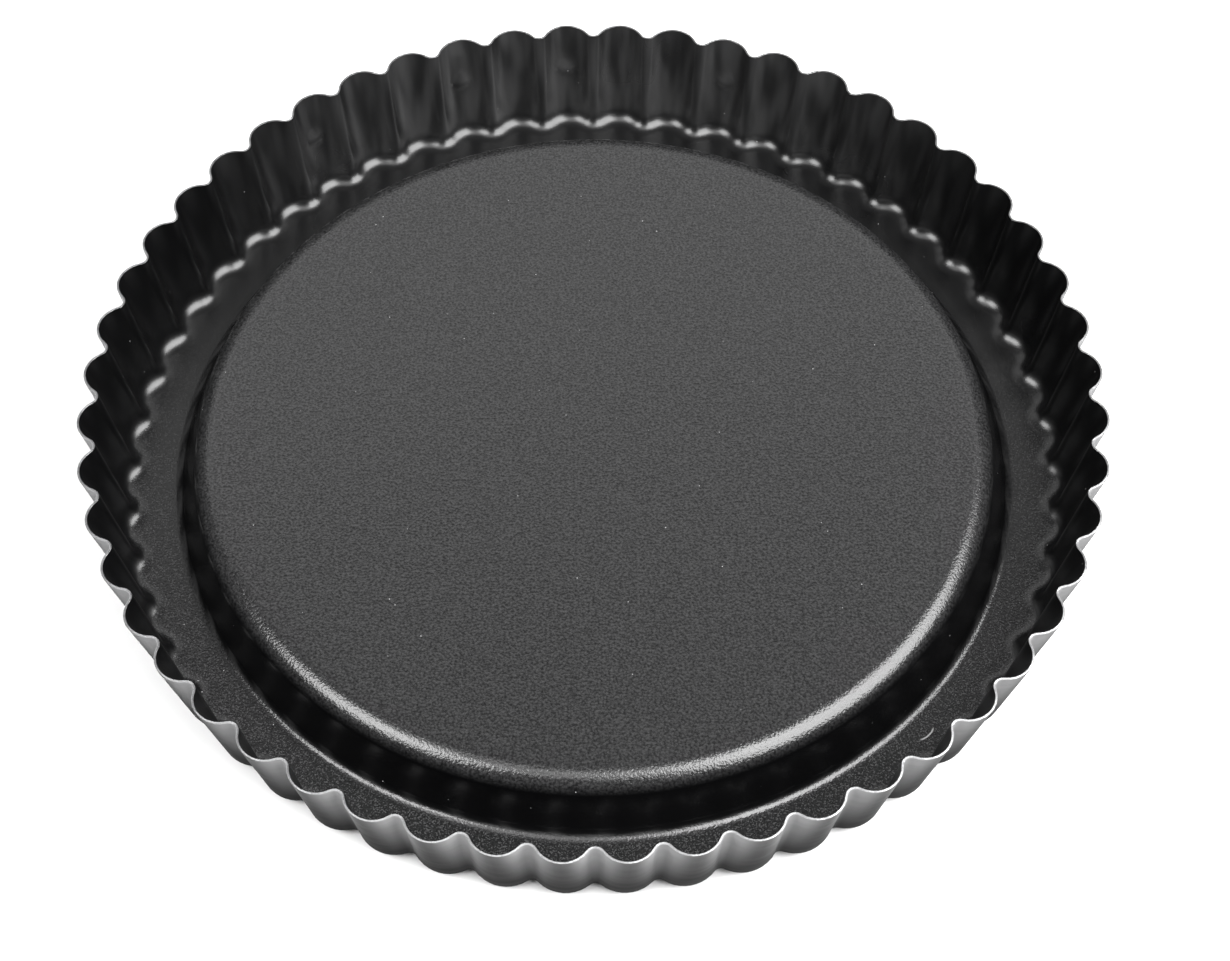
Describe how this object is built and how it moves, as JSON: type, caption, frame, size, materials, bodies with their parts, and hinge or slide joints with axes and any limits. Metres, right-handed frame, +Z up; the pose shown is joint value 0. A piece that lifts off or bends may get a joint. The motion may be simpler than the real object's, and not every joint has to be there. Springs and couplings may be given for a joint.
{
  "type": "fluted tart pan",
  "caption": "Round fluted flan pan with a raised centre, for baking a tart or sponge case with a filling well.",
  "frame": {"origin": "centre of the underside, on the surface the pan stands on", "axes": "+Z up out of the pan, square to the rim; flute troughs lie on +X, +Y, -X and -Y"},
  "size_m": [0.2994, 0.2994, 0.036],
  "materials": {
    "nonstick_coating": "dark grained satin non-stick coating",
    "steel": "bright cut edge of cold-rolled sheet",
    "outer_coating": "satin metallic grey back coat"
  },
  "bodies": {
    "root": {"pan_shell": "steel", "nonstick_coating": "nonstick_coating", "outer_coating": "outer_coating"}
  },
  "joints": []
}
